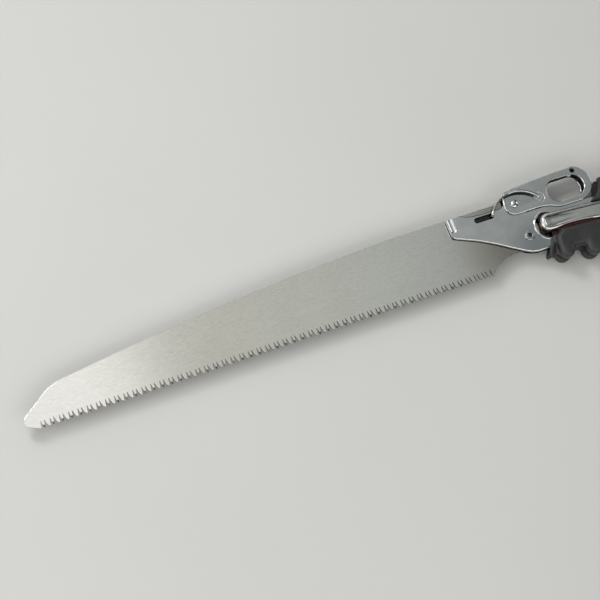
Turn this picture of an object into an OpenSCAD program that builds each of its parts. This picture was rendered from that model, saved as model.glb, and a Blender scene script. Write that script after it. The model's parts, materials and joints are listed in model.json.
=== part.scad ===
// Large folding pruning saw, blade open and lying on its side.
// Drawn about the blade pivot: +X to the handle's end, +Y to the blade's back, +Z up from the flat.
// Each sub-part is one module, and the list of nodes names them.

/* [Blade] */
// distance from one gullet to the next, on average
tooth_pitch = 4.762; // [3:0.001:7]
// gullets along the cutting edge
gullet_count = 105; // [60:1:140]
// depth of a gullet above the tooth tips
tooth_depth = 7.6; // [4:0.1:10]
// how far the tooth tips lie below the pivot
tooth_line = 28.6; // [24:0.1:34]
// how far the straight part of the back lies above the pivot
blade_back = 44.8; // [38:0.1:52]
// thickness of the blade
blade_thick = 2.0; // [1.2:0.1:3]
// radius of the round tang about the pivot
tang_r = 18; // [15:0.1:19]

/* [Fork] */
// half the slot that the blade folds into
slot_half = 2.5; // [2:0.1:3]
// thickness of each fork plate
plate_thick = 2.0; // [1.5:0.1:3]
// how far the fork plates reach in front of the pivot
fork_reach = 82.5; // [60:0.5:100]

/* [Lever] */
// lever pin, forward of the pivot and above it
lever_pin_at = [-3, 38];
// thickness of the lever's sheet
lever_thick = 1.8; // [1.2:0.1:2.5]
// radius of the lever's round rear end
lever_end_r = 19.6; // [16:0.1:24]
// radius of the finger hole's ends
finger_r = 12.5; // [10:0.1:14]
// radius of the toggle wire
wire_r = 1.4; // [0.8:0.05:1.6]

/* [Handle] */
// how far the handle droops from the line of the teeth, in degrees
handle_tilt = 4; // [0:0.5:8]
// length of the handle from the pivot to the end cap's joint
grip_end = 573; // [572:1:620]
// half the thickness of the grip at its fullest
grip_half = 15; // [13:0.5:20]
// height of the bright spine's face above the blade's middle
spine_top = 11; // [9:0.5:13]

/* [Hidden] */

$fn = 64;
// overlap that lets a cutter pass a face
over = 1;
// radial clearance of every turning fit
running = 0.05;

// blade numbers that follow from the tooth row
blade_half = blade_thick / 2;
gullet_y = tooth_depth - tooth_line;
first_gullet = -551.8;
pair_shift = 1.1;
gullet_half = 0.25;
last_gullet = first_gullet + (gullet_count - 1) * tooth_pitch;
heel_x = last_gullet + 1.6;
heel_arc_r = 42.5;
heel_top = [-22, -12.9];
back_bend_x = -147;
back_slope = 0.0335;
back_curve = 0.0001417;
shoulder_x = -525;
blade_reach = 567.6;
stop_gap = 0.3;
bush_r = 6;
bolt_r = 4;
thrust_r = 13;

// layers, outward from the middle of the blade
plate_in = slot_half;
plate_out = slot_half + plate_thick;
lever_in = plate_out + 0.5;
lever_out = lever_in + lever_thick;
wire_z = lever_out + 0.3 + wire_r;

// lever, pin and toggle wire
pin_r = 3.5;
pin_spacer_r = 5;
lever_nose_r = 12;
lever_end_at = [71.5, 38.7];
lever_top = lever_end_at.y + lever_end_r;
finger_y = 37.5;
finger_x = [50, 69];
wire_centre = [-1.6, 16.6];
wire_arc_r = 34.2;
leg_r = wire_r + 0.1;
eye_angle = 35;
hook_angle = 151;
eye_at = on_wire(eye_angle);
hook_at = on_wire(hook_angle);
lock_angle = 58;
fold_angle = 180 - handle_tilt;

// handle numbers, in the handle's own tilted frame
spine_y = 8.5;
spine_half = 10.3;
spine_nose_r = 9.3;
spine_nose_x = 24.3;
spine_edge = 4;
moat_at = [25, 5];
moat_r = 14.4;
rim_thick = 0.7;
arch_x = 55;
arch_rise = 2;
arch_r = 140;
spine_low = spine_y - spine_half;
spine_high = spine_y + spine_half;
core_top = plate_out + 1.5;
core_start = 32;
core_low = -22;
core_high = 41;
core_back_start = 105;
grip_edge = 6;
tang_start = 30;
tang_end = 213;
tang_low = -8.2;
tang_high = 42;
tang_gap = 0.1;
lower_edge = spine_low - rim_thick;
lower_r = 11.6;
lobe_x = [33, 65, 97];
lobe_r = [8.3, 9.5, 9.5];
lobe_low = [-35.3, -39, -38.5];
lobe_edge = 5;
lobe_stub = 0.2;
lobe_top = lower_edge - 2 * lower_r - lobe_stub;
lobe_reach = -60;
collar_top = 8;
web_top = 5.5;
upper_r = 12.2;
upper_start = 72;
lever_room = 6.4;
upper_out = grip_half;
spacer_low = 31;
back_bolt_x = [125, 260, 400, 540];
back_bolt_y = 37;
spine_rivet_x = [60, 150, 300, 450];
stop_at = [33, 19.4];
stop_seat = slot_half + 1.2;
cap_x = 582;
cap_y = [-9, 30];
cap_r = 17;
eyelet_at = [585, 10];

// from the handle's frame to the saw's
function to_saw(p) = [p.x * cos(handle_tilt) + p.y * sin(handle_tilt),
                      -p.x * sin(handle_tilt) + p.y * cos(handle_tilt)];
// a point on the toggle wire's arc
function on_wire(a) = wire_centre + wire_arc_r * [cos(a), sin(a)];
// points along an arc, both ends included
function arc(c, r, a0, a1, n) = [for (i = [0:n]) c + r * [cos(a0 + (a1 - a0) * i / n),
                                                         sin(a0 + (a1 - a0) * i / n)]];
// middle of the saw's outline, which becomes the origin
x_high = to_saw([cap_x, cap_y[1]]).x + cap_r;
y_low = to_saw([cap_x, cap_y[0]]).y - cap_r;
middle = [(x_high - blade_reach) / 2, (y_low + lever_top) / 2];

// Placing helpers

module placed() {
    translate([-middle.x, -middle.y, grip_half]) children();
}

module on_handle() {
    rotate([0, 0, -handle_tilt]) children();
}

module far_side() {
    mirror([0, 0, 1]) children();
}

module both_sides() {
    children();
    far_side() children();
}

module slab(z0, z1) {
    translate([0, 0, z0]) linear_extrude(z1 - z0) children();
}

module rod(at, r, z0, z1) {
    translate([at.x, at.y, z0]) cylinder(r = r, h = z1 - z0);
}

module block(x0, x1, y0, y1, z0, z1) {
    translate([x0, y0, z0]) cube([x1 - x0, y1 - y0, z1 - z0]);
}

module ring(at, r_in, r_out, z0, z1) {
    difference() {
        rod(at, r_out, z0, z1);
        rod(at, r_in, z0 - over, z1 + over);
    }
}

// half of a section with rounded upper corners: width 2r, height h
module rounded_section(r, h, edge) {
    intersection() {
        translate([-r, 0]) square([2 * r, h]);
        union() {
            translate([-r, 0]) square([2 * r, h - edge]);
            translate([edge - r, 0]) square([2 * (r - edge), h]);
            for (side = [-1, 1]) translate([side * (r - edge), h - edge]) circle(edge);
        }
    }
}

// a straight length of that section between two points
module rounded_length(p0, p1, r, z0, z1, edge) {
    step = p1 - p0;
    translate([p0.x, p0.y, z0]) rotate([0, 0, atan2(step.y, step.x)]) rotate([90, 0, 90])
        linear_extrude(norm(step)) rounded_section(r, z1 - z0, edge);
}

// a round end for that length, spun from the same section
module rounded_end(at, r, z0, z1, edge, from_angle) {
    translate([at.x, at.y, z0]) rotate([0, 0, from_angle]) rotate_extrude(angle = 180)
        intersection() {
            rounded_section(r, z1 - z0, edge);
            square([r, z1 - z0]);
        }
}

module rounded_bar(p0, p1, r, z0, z1, edge) {
    turn = atan2(p1.y - p0.y, p1.x - p0.x);
    rounded_length(p0, p1, r, z0, z1, edge);
    rounded_end(p0, r, z0, z1, edge, turn + 90);
    rounded_end(p1, r, z0, z1, edge, turn - 90);
}

// Blade

function gullet_x(k) = first_gullet + k * tooth_pitch - (k % 2) * pair_shift;

// one tooth from its front gullet to its rear one, leaning toward the handle for the pull stroke
function tooth_points(k) = let (x0 = gullet_x(k), x1 = gullet_x(k + 1), w = x1 - x0)
    [[x0 - gullet_half, gullet_y], [x0 + gullet_half, gullet_y],
     [x0 + 0.33 * w, gullet_y - 0.74 * tooth_depth],
     [x1 - 0.3 * w, -tooth_line], [x1 - 0.2 * w, gullet_y - 0.86 * tooth_depth]];

function back_y(x) = let (d = max(0, back_bend_x - x)) blade_back - back_slope * d - back_curve * d * d;

module blade_outline() {
    teeth = [for (k = [0:gullet_count - 2]) each tooth_points(k)];
    heel_c = heel_top - [0, heel_arc_r];
    heel_a = acos((heel_x - heel_c.x) / heel_arc_r);
    heel = concat([[last_gullet - gullet_half, gullet_y], [last_gullet + gullet_half, gullet_y],
                   [heel_x - 0.8, 1 - tooth_line]], arc(heel_c, heel_arc_r, heel_a, 90, 12));
    rear_x = lever_pin_at.x - pin_spacer_r - stop_gap - 0.1;
    tang = [[-12.5, heel_top.y], [0, 0], [rear_x, 10], [rear_x, blade_back - 2],
            [rear_x - 2, blade_back]];
    back = [for (i = [0:24]) let (x = back_bend_x + (shoulder_x - back_bend_x) * i / 24) [x, back_y(x)]];
    nose = [[-529.5, 10.2], [-532.5, 9.1], [-536, 7.3], [-540, 4.8], [-545, 1.2], [-565.2, -13.2],
            [-566.9, -15.6], [-blade_reach, -18.2], [-567, -21], [-564.6, -23.6], [-561, -25],
            [first_gullet - 1.2, -tooth_line]];
    polygon(concat(teeth, heel, tang, back, nose));
}

// wedge that grinds a tip down to one face
module tip_bevel(k) {
    translate([gullet_x(k), 3 - tooth_line, blade_half]) rotate([25, 0, 0])
        translate([0, -8, 0]) cube([gullet_x(k + 1) - gullet_x(k), 8, 4]);
}

module lock_notch(angle) {
    rotate([0, 0, angle]) block(tang_r - 4, tang_r + 4, -3.2, 3.2, -slot_half, slot_half);
}

module saw_blade() {
    color([0.75, 0.74, 0.72]) placed() difference() {
        union() {
            slab(-blade_half, blade_half) blade_outline();
            rod([0, 0], tang_r, -blade_half, blade_half);
        }
        rod([0, 0], bush_r + running, -slot_half, slot_half);
        lock_notch(lock_angle);
        lock_notch(lock_angle - fold_angle);
        for (k = [0:2:gullet_count - 2]) tip_bevel(k);
        for (k = [1:2:gullet_count - 2]) far_side() tip_bevel(k);
    }
}

// Pivot

module pivot_bush() {
    color([0.7, 0.62, 0.4]) placed() ring([0, 0], bolt_r, bush_r, -slot_half, slot_half);
}

module thrust_washers() {
    color([0.7, 0.62, 0.4]) placed() both_sides()
        ring([0, 0], bush_r + running, thrust_r, blade_half + 0.1, slot_half);
}

module pivot_bolt() {
    head_r = 5.6;
    head_high = 1.9;
    color([0.7, 0.7, 0.72]) placed() difference() {
        union() {
            rod([0, 0], bolt_r, -11, plate_out);
            translate([0, 0, plate_out]) cylinder(r = head_r, h = head_high - 0.6);
            translate([0, 0, plate_out + head_high - 0.6])
                cylinder(r1 = head_r, r2 = head_r - 0.9, h = 0.6);
        }
        translate([0, 0, plate_out + head_high - 1.4]) cylinder(r = 2.9, h = 3, $fn = 6);
    }
}

module spring_washer() {
    color([0.6, 0.6, 0.62]) placed() ring([0, 0], bolt_r + 0.1, 8, -plate_out - 1, -plate_out);
}

module pivot_nut() {
    color([0.6, 0.6, 0.62]) placed() difference() {
        translate([0, 0, -10]) cylinder(r = 7.5, h = 9 - plate_out, $fn = 6);
        rod([0, 0], bolt_r, -11, 0);
    }
}

// Fork and its fixed pins

module cheek_outline() {
    front = [[-fork_reach, 44], [-fork_reach, 29], [0.5 - fork_reach, 25], [2 - fork_reach, 22.5]];
    lower = [[-77, 20.8], [-67, 16.5], [-57, 12.2], [-47, 7], [-37, 1.3], [-27, -5], [-17, -11]];
    belly = [[-10, -15.2], [-3, -18.3], [3, -19.4], [10, -19.6], [18, -19.4], [28, -18.6]];
    hidden = [to_saw([tang_start, tang_low]), to_saw([tang_end, tang_low]),
              to_saw([tang_end, tang_high]), to_saw([118, tang_high])];
    under_lever = [to_saw([110, 24.5]), to_saw([46, 24.5]), [30, 25.2], [6, 25.2]];
    lug = arc(lever_pin_at, 9, 0, 150, 12);
    upper = [[-20, 38.5], [-42, 38.8], [-52, 39.8], [-59, 41.3], [-65, 44]];
    polygon(concat(front, lower, belly, hidden, under_lever, lug, upper));
}

// crescent opening round the spine's nose
module moat() {
    difference() {
        rod(moat_at, moat_r, plate_in - over, plate_out + over);
        on_handle() block(spine_nose_x - spine_nose_r, 60, spine_low, spine_high,
                          plate_in - 2 * over, plate_out + 2 * over);
        on_handle() block(25, 60, -40, 40, plate_in - 2 * over, plate_out + 2 * over);
    }
}

module wire_slot() {
    slot_r = 3.1;
    slot_y = 33.5;
    slot_x = [-49.1, -32.2];
    for (x = slot_x) rod([x, slot_y], slot_r, plate_in - over, plate_out + over);
    block(slot_x[0], slot_x[1], slot_y - slot_r, slot_y + slot_r, plate_in - over, plate_out + over);
}

// groove pressed across the fork's front, with a round lower end
module front_groove() {
    groove_r = 5;
    groove_z = plate_out + groove_r - 1.2;
    translate([4.5 - fork_reach, 31, groove_z]) rotate([-90, 0, 0]) cylinder(r = groove_r, h = 20);
    translate([4.5 - fork_reach, 31, groove_z]) sphere(groove_r);
}

module cheek() {
    difference() {
        slab(plate_in, plate_out) cheek_outline();
        rod([0, 0], bolt_r, 0, plate_out + over);
        rod(lever_pin_at, pin_r, 0, plate_out + over);
        moat();
        wire_slot();
        front_groove();
        on_handle() {
            rod(stop_at, 2.5, 0, stop_seat);
            for (x = back_bolt_x) rod([x, back_bolt_y], 3, 0, plate_out + over);
            for (x = spine_rivet_x) rod([x, spine_y], 2, 0, plate_out + over);
        }
    }
}

module left_cheek() {
    color([0.62, 0.64, 0.65]) placed() cheek();
}

module right_cheek() {
    color([0.62, 0.64, 0.65]) placed() far_side() cheek();
}

module closing_stop() {
    color([0.55, 0.55, 0.57]) placed() on_handle() {
        rod(stop_at, 4, -slot_half, slot_half);
        rod(stop_at, 2.5, -stop_seat, stop_seat);
    }
}

module lever_pin() {
    head_r = 4.4;
    head_high = 1.8;
    ball_r = (head_r * head_r + head_high * head_high) / (2 * head_high);
    head_z = lever_out + 0.2;
    color([0.75, 0.75, 0.77]) placed() {
        rod(lever_pin_at, pin_r, -head_z, head_z);
        both_sides() intersection() {
            translate([lever_pin_at.x, lever_pin_at.y, head_z + head_high - ball_r]) sphere(ball_r);
            rod(lever_pin_at, head_r + over, head_z, head_z + head_high + over);
        }
    }
}

module lever_pin_spacer() {
    color([0.6, 0.6, 0.62]) placed() ring(lever_pin_at, pin_r, pin_spacer_r, -slot_half, slot_half);
}

module lever_washers() {
    color([0.6, 0.6, 0.62]) placed() both_sides()
        ring(lever_pin_at, pin_r + running, 7, plate_out, lever_in - 0.05);
}

// Lock lever

module lever_outline() {
    nose = arc(lever_pin_at, lever_nose_r, 160, 270, 16);
    lower = [[22, 26], [29, 25.4], [36, 23.6], [42, 21], [48, 19.4], [56, 19.1]];
    end = arc(lever_end_at, lever_end_r, -90, 90, 32);
    upper = [[50, 58], [30, 57.2], [12, 56], [0, 54.8], [-8, 53.4], [-12, 51.4]];
    polygon(concat(nose, lower, end, upper));
}

module lever_roof_outline() {
    top = [[68, 58.2], [50, 58], [30, 57.2], [12, 56], [2, 55]];
    under = [for (i = [len(top) - 1:-1:0]) top[i] - [0, lever_thick]];
    polygon(concat(top, under));
}

// shallow dish pressed under the wire: a sloping floor, a coned wall and a straight lower step
module wire_dish() {
    rim_r = wire_arc_r - 0.7;
    wall_run = 4.5;
    step_drop = 3.3;
    step = eye_at - lever_pin_at;
    intersection() {
        translate([wire_centre.x, wire_centre.y, lever_out - over])
            cylinder(r1 = rim_r - wall_run * over, r2 = rim_r + wall_run * over, h = 2 * over);
        translate([lever_pin_at.x, lever_pin_at.y, lever_in]) rotate([0, 0, atan2(step.y, step.x)])
            translate([-1.5 * lever_nose_r, -step_drop, 0]) cube([norm(step) + 1.5 * lever_nose_r, 30, 5]);
        translate([-12, 32, lever_out]) rotate([0, 0, 66]) rotate([0, 2, 0])
            translate([-20, -40, 0]) cube([60, 80, 5]);
    }
}

module lever_cheek() {
    difference() {
        slab(lever_in, lever_out) lever_outline();
        for (x = finger_x) rod([x, finger_y], finger_r, lever_in - over, lever_out + over);
        block(finger_x[0], finger_x[1], finger_y - finger_r, finger_y + finger_r,
              lever_in - over, lever_out + over);
        rod(lever_pin_at, pin_r + running, lever_in - over, lever_out + over);
        rod(eye_at, 2.6, lever_in - over, lever_out + over);
        rod(eye_at, 6, lever_out - 0.6, lever_out + over);
        wire_dish();
        rod([74.6, 53.8], 3, lever_in - over, lever_out + over);
    }
}

module lock_lever() {
    color([0.62, 0.63, 0.64]) placed() {
        both_sides() lever_cheek();
        slab(-lever_out, lever_out) lever_roof_outline();
    }
}

// held just clear of its notch, so that the blade can turn with the lever at rest
module lock_tooth() {
    color([0.5, 0.5, 0.52]) placed() {
        block(11, 22, 26, 34, -lever_in, lever_in);
        rotate([0, 0, lock_angle])
            block(tang_r + 0.4, 33, -2.6, 2.6, 0.5 - slot_half, slot_half - 0.5);
    }
}

module toggle_eyelets() {
    color([0.7, 0.7, 0.72]) placed() both_sides() difference() {
        union() {
            rod(eye_at, 2.6, lever_in, lever_out - 0.1);
            rod(eye_at, 3.6, lever_out - 0.6, lever_out - 0.1);
        }
        rod(eye_at, leg_r + running, 0, lever_out + over);
    }
}

// turned-in end of the wire, a little upset so that it fills its hole
module wire_leg(at, z_end) {
    translate([at.x, at.y, z_end]) rotate_extrude() intersection() {
        square([leg_r, wire_z - z_end + leg_r]);
        union() {
            square([leg_r, wire_z - z_end]);
            translate([0, wire_z - z_end]) circle(leg_r);
        }
    }
}

module toggle_wire() {
    translate([wire_centre.x, wire_centre.y, wire_z]) rotate([0, 0, eye_angle])
        rotate_extrude(angle = hook_angle - eye_angle) translate([wire_arc_r, 0]) circle(wire_r);
    wire_leg(eye_at, lever_in + 0.1);
    wire_leg(hook_at, plate_in + 0.4);
}

module left_toggle_wire() {
    color([0.82, 0.82, 0.84]) placed() toggle_wire();
}

module right_toggle_wire() {
    color([0.82, 0.82, 0.84]) placed() far_side() toggle_wire();
}

// Handle

// shallow dish behind the nose, running out along the spine
module spine_dish() {
    dish_r = 22;
    translate([27, spine_y, spine_top - 0.8 + dish_r]) {
        sphere(dish_r);
        rotate([0, 88.4, 0]) cylinder(r = dish_r, h = 40);
    }
}

// disc whose top bulges into the spine's lower edge, over the finger lobes
module arch(inset, z0, z1) {
    rod([arch_x, spine_low + arch_rise - arch_r], arch_r - inset, z0, z1);
}

module spine() {
    corner = spine_half - spine_nose_r;
    difference() {
        union() {
            rounded_bar([spine_nose_x, spine_y - corner], [spine_nose_x, spine_y + corner],
                        spine_nose_r, plate_out, spine_top, spine_edge);
            rounded_length([spine_nose_x, spine_y], [grip_end, spine_y],
                           spine_half, plate_out, spine_top, spine_edge);
        }
        block(core_start, grip_end + over, spine_low - over, spine_high + over, 0, core_top);
        for (x = spine_rivet_x) rod([x, spine_y], 2, 0, spine_top - 2);
        spine_dish();
        arch(0, plate_out - over, spine_top + over);
    }
}

module left_spine() {
    color([0.78, 0.78, 0.79]) placed() on_handle() spine();
}

module right_spine() {
    color([0.78, 0.78, 0.79]) placed() far_side() on_handle() spine();
}

module spine_rivets() {
    color([0.6, 0.6, 0.62]) placed() on_handle() both_sides()
        for (x = spine_rivet_x) rod([x, spine_y], 2, slot_half, spine_top - 2);
}

// red moulding under the spine; its rim shows as a thin line below the spine
module grip_core() {
    rim_top = collar_top + 0.2;
    difference() {
        union() {
            block(core_start, grip_end, core_low, spine_high - 0.6, plate_out, core_top);
            block(core_back_start, grip_end, spine_low, core_high, plate_out, core_top);
            block(tang_end, grip_end, core_low, core_high, plate_in, core_top);
            block(core_start, grip_end, lower_edge, spine_low, plate_out, rim_top);
            intersection() {
                arch(0, plate_out, rim_top);
                block(core_start, 2 * arch_x - core_start, lower_edge, spine_high, plate_out, rim_top);
            }
        }
        intersection() {
            arch(rim_thick, core_top, rim_top + over);
            block(core_start - over, 2 * arch_x, lower_edge - over, spine_high, core_top, rim_top + over);
        }
        for (x = back_bolt_x) rod([x, back_bolt_y], 3, 0, core_top + over);
        for (x = spine_rivet_x) rod([x, spine_y], 2, 0, core_top + over);
    }
}

module left_grip_core() {
    color([0.7, 0.12, 0.06]) placed() on_handle() grip_core();
}

module right_grip_core() {
    color([0.7, 0.12, 0.06]) placed() far_side() on_handle() grip_core();
}

// thin flange in front of the first finger lobe
module collar_outline() {
    polygon([[24.3, -6.6], [21.4, -11.4], [18.2, -17], [15.4, -21.8], [13.4, -25.3], [13.6, -27.6],
             [15.8, -28.8], [18.2, -27.4], [20.8, -21.8], [24.2, -13.6], [27.4, -6.6]]);
}

// low web that joins the flange to the lobe
module web_outline() {
    polygon([[26, -6.6], [19, -19], [16, -27.6], [26, -29], [lobe_x[0], -29], [lobe_x[0], -6.6]]);
}

// straight bar of rubber with rounded lobes below it, which keep the fingers apart
module lower_rubber() {
    bar_y = lower_edge - lower_r;
    difference() {
        union() {
            rounded_length([lobe_x[0], bar_y], [grip_end, bar_y], lower_r, plate_in, grip_half, grip_edge);
            for (i = [0:len(lobe_x) - 1])
                rounded_bar([lobe_x[i], bar_y], [lobe_x[i], lobe_low[i] + lobe_r[i]], lobe_r[i],
                            plate_in, grip_half, lobe_edge);
            intersection() {
                arch(rim_thick, plate_in, collar_top);
                block(core_start, 2 * arch_x - core_start, bar_y, spine_high, plate_in, collar_top);
            }
            slab(plate_in, collar_top) collar_outline();
            slab(plate_in, web_top) web_outline();
        }
        block(-over, tang_end, tang_low - tang_gap, 0, 0, plate_out);
        block(-over, tang_start, -24, 0, 0, plate_out);
        grip_core();
    }
}

// the rubber is parted at the tops of the finger notches, so that the notches stay open in collision
module lower_grip() {
    difference() {
        lower_rubber();
        block(-over, grip_end + over, lobe_reach, lobe_top, 0, grip_half + over);
    }
}

module finger_lobes() {
    intersection() {
        lower_rubber();
        block(-over, lobe_x[2] + 2 * lobe_r[2], lobe_reach, lobe_top, 0, grip_half + over);
    }
}

module left_lower_grip() {
    color([0.12, 0.125, 0.13]) placed() on_handle() lower_grip();
}

module right_lower_grip() {
    color([0.12, 0.125, 0.13]) placed() far_side() on_handle() lower_grip();
}

module left_finger_lobes() {
    color([0.12, 0.125, 0.13]) placed() on_handle() finger_lobes();
}

module right_finger_lobes() {
    color([0.12, 0.125, 0.13]) placed() far_side() on_handle() finger_lobes();
}

module upper_grip() {
    upper_y = spine_high + upper_r;
    difference() {
        rounded_length([upper_start, upper_y], [grip_end, upper_y], upper_r, plate_in, upper_out, grip_edge);
        rotate([0, 0, handle_tilt]) rod(lever_end_at, lever_end_r + lever_room, 0, upper_out + over);
        block(0, tang_end, 0, tang_high + tang_gap, 0, plate_out);
        grip_core();
        for (x = back_bolt_x) {
            rod([x, back_bolt_y], 3, 0, upper_out + over);
            rod([x, back_bolt_y], 5.4, upper_out - 4, upper_out + over);
        }
    }
}

module left_upper_grip() {
    color([0.12, 0.125, 0.13]) placed() on_handle() upper_grip();
}

module right_upper_grip() {
    color([0.12, 0.125, 0.13]) placed() far_side() on_handle() upper_grip();
}

module back_spacer() {
    color([0.2, 0.2, 0.21]) placed() on_handle() difference() {
        block(core_back_start, grip_end, spacer_low, tang_high, -slot_half, slot_half);
        for (x = back_bolt_x) rod([x, back_bolt_y], 3, -slot_half - over, slot_half + over);
    }
}

module back_bolts() {
    color([0.6, 0.6, 0.62]) placed() on_handle() for (x = back_bolt_x) difference() {
        union() {
            rod([x, back_bolt_y], 3, 1 - upper_out, upper_out - 4);
            rod([x, back_bolt_y], 5, upper_out - 4, upper_out - 1.5);
        }
        translate([x, back_bolt_y, upper_out - 3]) cylinder(r = 2.3, h = 3, $fn = 6);
    }
}

module back_nuts() {
    color([0.6, 0.6, 0.62]) placed() on_handle() for (x = back_bolt_x) difference() {
        translate([x, back_bolt_y, 1.2 - upper_out]) cylinder(r = 5.2, h = 2.8, $fn = 6);
        rod([x, back_bolt_y], 3, -upper_out, 0);
    }
}

module end_cap() {
    color([0.14, 0.14, 0.145]) placed() on_handle() difference() {
        both_sides() rounded_bar([cap_x, cap_y[0]], [cap_x, cap_y[1]], cap_r, 0, grip_half, grip_edge);
        block(cap_x - cap_r - over, grip_end, -60, 60, -grip_half - over, grip_half + over);
        rod(eyelet_at, 5.5, -grip_half - over, grip_half + over);
        both_sides() rod(eyelet_at, 7, grip_half - 1.2, grip_half + over);
    }
}

module lanyard_eyelet() {
    color([0.7, 0.7, 0.72]) placed() on_handle() difference() {
        union() {
            rod(eyelet_at, 5.5, -grip_half + 0.2, grip_half - 0.2);
            both_sides() rod(eyelet_at, 7, grip_half - 1.2, grip_half - 0.2);
        }
        rod(eyelet_at, 4, -grip_half - over, grip_half + over);
    }
}

saw_blade();
pivot_bush();
thrust_washers();
pivot_bolt();
spring_washer();
pivot_nut();
left_cheek();
right_cheek();
closing_stop();
lever_pin();
lever_pin_spacer();
lever_washers();
lock_lever();
lock_tooth();
toggle_eyelets();
left_toggle_wire();
right_toggle_wire();
left_spine();
right_spine();
spine_rivets();
left_grip_core();
right_grip_core();
left_lower_grip();
right_lower_grip();
left_finger_lobes();
right_finger_lobes();
left_upper_grip();
right_upper_grip();
back_spacer();
back_bolts();
back_nuts();
end_cap();
lanyard_eyelet();
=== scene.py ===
# %% [markdown]
# # A large folding pruning saw
# The frame holds the saw's solids, lying on their side with the blade open: +X runs to the end of the
# handle, +Y to the back of the blade and +Z up from the floor. Nothing in it is moved here. Each piece
# that shows is copied or modelled again with the soft edges and bends of pressed, plated and ground
# metal and of moulded rubber, gets its finish, and rides on the body that carries it.

# %% Load the frame
import json
import math

import bmesh
import bpy
from mathutils import Matrix, Vector


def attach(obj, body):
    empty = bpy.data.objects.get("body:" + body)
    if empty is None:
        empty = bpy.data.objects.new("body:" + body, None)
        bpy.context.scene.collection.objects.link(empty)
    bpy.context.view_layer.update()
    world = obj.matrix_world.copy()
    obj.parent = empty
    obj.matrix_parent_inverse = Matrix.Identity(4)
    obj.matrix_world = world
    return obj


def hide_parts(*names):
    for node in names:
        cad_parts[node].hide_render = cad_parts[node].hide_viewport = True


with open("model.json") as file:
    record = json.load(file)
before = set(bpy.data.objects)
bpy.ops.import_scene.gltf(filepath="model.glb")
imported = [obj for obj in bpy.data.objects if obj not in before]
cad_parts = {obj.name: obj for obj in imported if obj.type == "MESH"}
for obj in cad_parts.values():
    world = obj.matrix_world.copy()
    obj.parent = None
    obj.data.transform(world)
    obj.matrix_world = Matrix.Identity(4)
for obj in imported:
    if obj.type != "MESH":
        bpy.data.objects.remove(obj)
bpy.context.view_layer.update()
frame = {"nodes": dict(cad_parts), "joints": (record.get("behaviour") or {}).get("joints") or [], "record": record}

# %% [markdown]
# Every size below is written in millimetres from the blade's pivot, as a drawing of the saw would give
# it. The frame knows where the pivot, the lever's pin and the wire's eye are, so their places are read
# from its joints and not typed again.

# %% Places on the saw
mm = 0.001
up = Vector((0.0, 0.0, 1.0))
handle_tilt = math.radians(-4)
joint_at = {joint["name"]: Vector(joint["pos_m"]) for joint in frame["joints"]}
pivot = joint_at["blade_fold"]
body_of = {node: body for body, nodes in frame["record"]["behaviour"]["bodies"].items() for node in nodes}


def from_pivot(point):
    """A point of the row frame, in millimetres from the pivot."""
    return (point - pivot) / mm


def on_saw(x, y, z=0.0):
    """A place in millimetres from the pivot, in the row frame."""
    return pivot + Vector((x, y, z)) * mm


lever_pin = from_pivot(joint_at["lever_lift"])
wire_eye = from_pivot(joint_at["toggle_swing"])
print("pivot", pivot, "lever pin", lever_pin, "wire eye", wire_eye)

# %% [markdown]
# The photograph looks down on the saw from the side of its teeth, a little turned, through a long lens.
# The three angles and the distance were found by laying the CAD outline over the picture, so the camera
# only needs them typed in.

# %% Camera
camera_place = (-638.7, -322.3, 1466.9)
camera_turn = (16.8, -8.934, -21.217)
picture_pixels = 600
half_pixel = 0.5 / picture_pixels
camera_data = bpy.data.cameras.new("camera")
camera_data.lens = 90
camera_data.sensor_width = 36
camera_data.shift_x = -half_pixel
camera_data.shift_y = half_pixel
camera = bpy.data.objects.new("camera", camera_data)
camera.location = on_saw(*camera_place)
camera.rotation_euler = [math.radians(angle) for angle in camera_turn]
bpy.context.scene.collection.objects.link(camera)
bpy.context.scene.camera = camera
bpy.context.scene.view_settings.view_transform = "Standard"
print("camera at", camera.location)

# %% [markdown]
# A flat polished blade shows nothing but what it mirrors, so its tones are made by the room. A picture of a
# studio could be wrapped round the scene, but a sky made of a few nodes is easier to tune against the blade.
# It is bright behind the saw and dark on the camera's side, and it dims from the tip toward the handle, as it
# would with one large window. Its tint drifts the same way.


# %% Nodes in one line
def put(tree, kind, inputs=None, **settings):
    """Adds a node. An input given as a socket is linked, and any other is set as a value."""
    node = tree.nodes.new(kind)
    for name, value in settings.items():
        setattr(node, name, value)
    for name, value in (inputs or {}).items():
        if isinstance(value, bpy.types.NodeSocket):
            tree.links.new(value, node.inputs[name])
        else:
            node.inputs[name].default_value = value
    return node


def ramp(tree, value, start, stop, low=0.0, high=1.0):
    """A number that goes softly from low to high as the value goes from start to stop."""
    inputs = {"Value": value, "From Min": start, "From Max": stop, "To Min": low, "To Max": high}
    return put(tree, "ShaderNodeMapRange", inputs, interpolation_type="SMOOTHSTEP").outputs["Result"]


# %% Sky
window_light = 0.74
far_light = 0.35
front_light = 0.12
wall_share = 0.3
window_span = (0.25, 0.45)
behind_span = (-0.08, 0.14)
wall_span = (0.34, 0.52)
tints = {
    0.08: (1.0, 0.97, 0.955),
    0.18: (1.0, 0.98, 0.88),
    0.30: (0.95, 1.0, 0.955),
    0.40: (0.965, 1.0, 0.985),
}
world = bpy.data.worlds.new("studio")
bpy.context.scene.world = world
world.use_nodes = True
sky = world.node_tree
sky.nodes.clear()
direction = put(sky, "ShaderNodeTexCoord").outputs["Generated"]
aim = put(sky, "ShaderNodeSeparateXYZ", {"Vector": direction}).outputs
window = ramp(sky, aim["X"], *window_span, window_light, far_light)
behind = ramp(sky, aim["Y"], *behind_span)
low_wall = ramp(sky, aim["Y"], *wall_span, 1.0, wall_share)
back_light = put(sky, "ShaderNodeMath", {0: window, 1: low_wall}, operation="MULTIPLY").outputs["Value"]
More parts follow.
